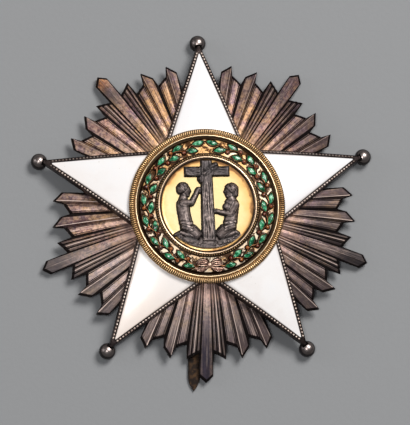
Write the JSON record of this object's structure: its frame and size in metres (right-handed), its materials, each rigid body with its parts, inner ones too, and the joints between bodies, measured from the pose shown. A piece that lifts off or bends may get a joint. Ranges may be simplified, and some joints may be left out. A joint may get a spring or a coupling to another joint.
{
  "type": "grand cross breast star",
  "caption": "Breast star of an order: white enamel star with beaded edges and ball tips on a vaulted plate of silver rays, with a gilt wreathed medallion and a pin at the back",
  "frame": {"origin": "middle of the star in plan, on the plane of the surface that it lies on, which the five balls touch", "axes": "+Z out of the front face, +Y toward the top arm, +X to the right as seen from the front"},
  "size_m": [0.0878, 0.0922, 0.0124],
  "materials": {
    "ray_silver": "toned silver with pinkish brown and gold patches, worn bright on the ridges",
    "star_silver": "darkened silver with a beaded edge worn bright",
    "white_enamel": "opaque white fired enamel, polished",
    "ball_silver": "dark polished silver",
    "case_gilt": "gilt, milled, with dark dirt in the grooves",
    "ground_gilt": "pale gilt, satin",
    "leaf_enamel": "translucent green enamel edged in gilt, red-brown berries",
    "bow_gilt": "pinkish gilt, satin",
    "bead_gilt": "gilt beads with dark gaps",
    "disc_gilt": "bright gilt, darker orange-brown at the edge",
    "relief_silver": "blackened silver, worn paler on the high parts",
    "post_silver": "plain turned silver",
    "pin_metal": "plain gilt, dulled"
  },
  "bodies": {
    "root": {"ray_plate": "ray_silver", "star_body": "star_silver", "enamel_arm_1": "white_enamel", "enamel_arm_2": "white_enamel", "enamel_arm_3": "white_enamel", "enamel_arm_4": "white_enamel", "enamel_arm_5": "white_enamel", "tip_ball_1": "ball_silver", "tip_ball_2": "ball_silver", "tip_ball_3": "ball_silver", "tip_ball_4": "ball_silver", "tip_ball_5": "ball_silver", "medallion_case": "case_gilt", "wreath_ground": "ground_gilt", "wreath_left": "leaf_enamel", "wreath_right": "leaf_enamel", "ribbon_bow": "bow_gilt", "bead_ring": "bead_gilt", "medallion_disc": "disc_gilt", "medallion_relief": "relief_silver", "centre_post": "post_silver", "brooch_pin": "pin_metal"}
  },
  "joints": []
}
